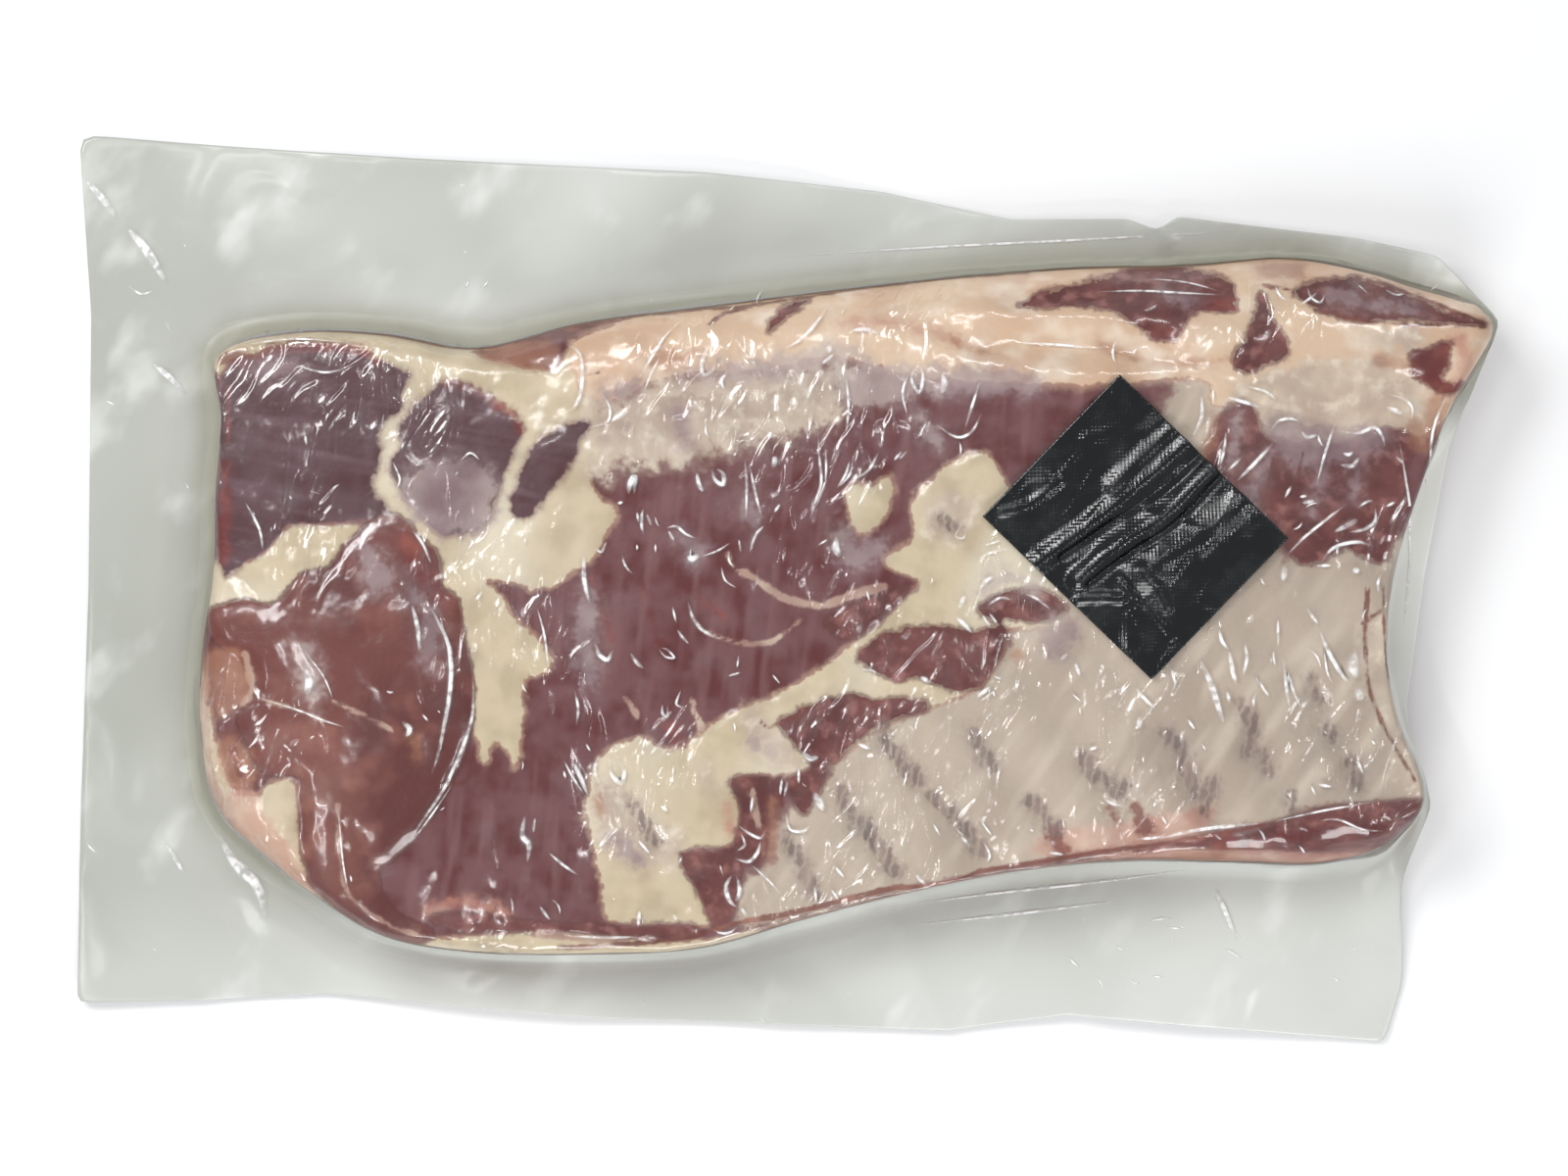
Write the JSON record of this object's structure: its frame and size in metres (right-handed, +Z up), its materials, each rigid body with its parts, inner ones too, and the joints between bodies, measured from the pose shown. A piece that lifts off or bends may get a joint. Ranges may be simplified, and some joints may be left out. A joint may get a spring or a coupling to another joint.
{
  "type": "vacuum pack of raw bone-in pork belly",
  "caption": "Clear vacuum pouch drawn tight over a lumpy slab of raw bone-in pork belly, with wide flat film margins and a square patch of black cloth on its upper face.",
  "frame": {"origin": "on the surface the pack lies on, under the middle of the pouch's bounding box", "axes": "+X along the pouch towards the rib end with its two film tips; +Y towards the edge with the rolled fat; +Z up, out of the rib side"},
  "size_m": [0.604, 0.388, 0.0426],
  "materials": {
    "film": "clear wrinkled vacuum film, grey-green where it lies on itself",
    "meat": "raw pork, purple-red muscle with cream fat and pale pink skin over the ribs, seen through film",
    "patch": "black woven cloth with a soft sheen and pressed folds"
  },
  "bodies": {
    "root": {"pouch": "film", "patch": "patch"}
  },
  "joints": []
}
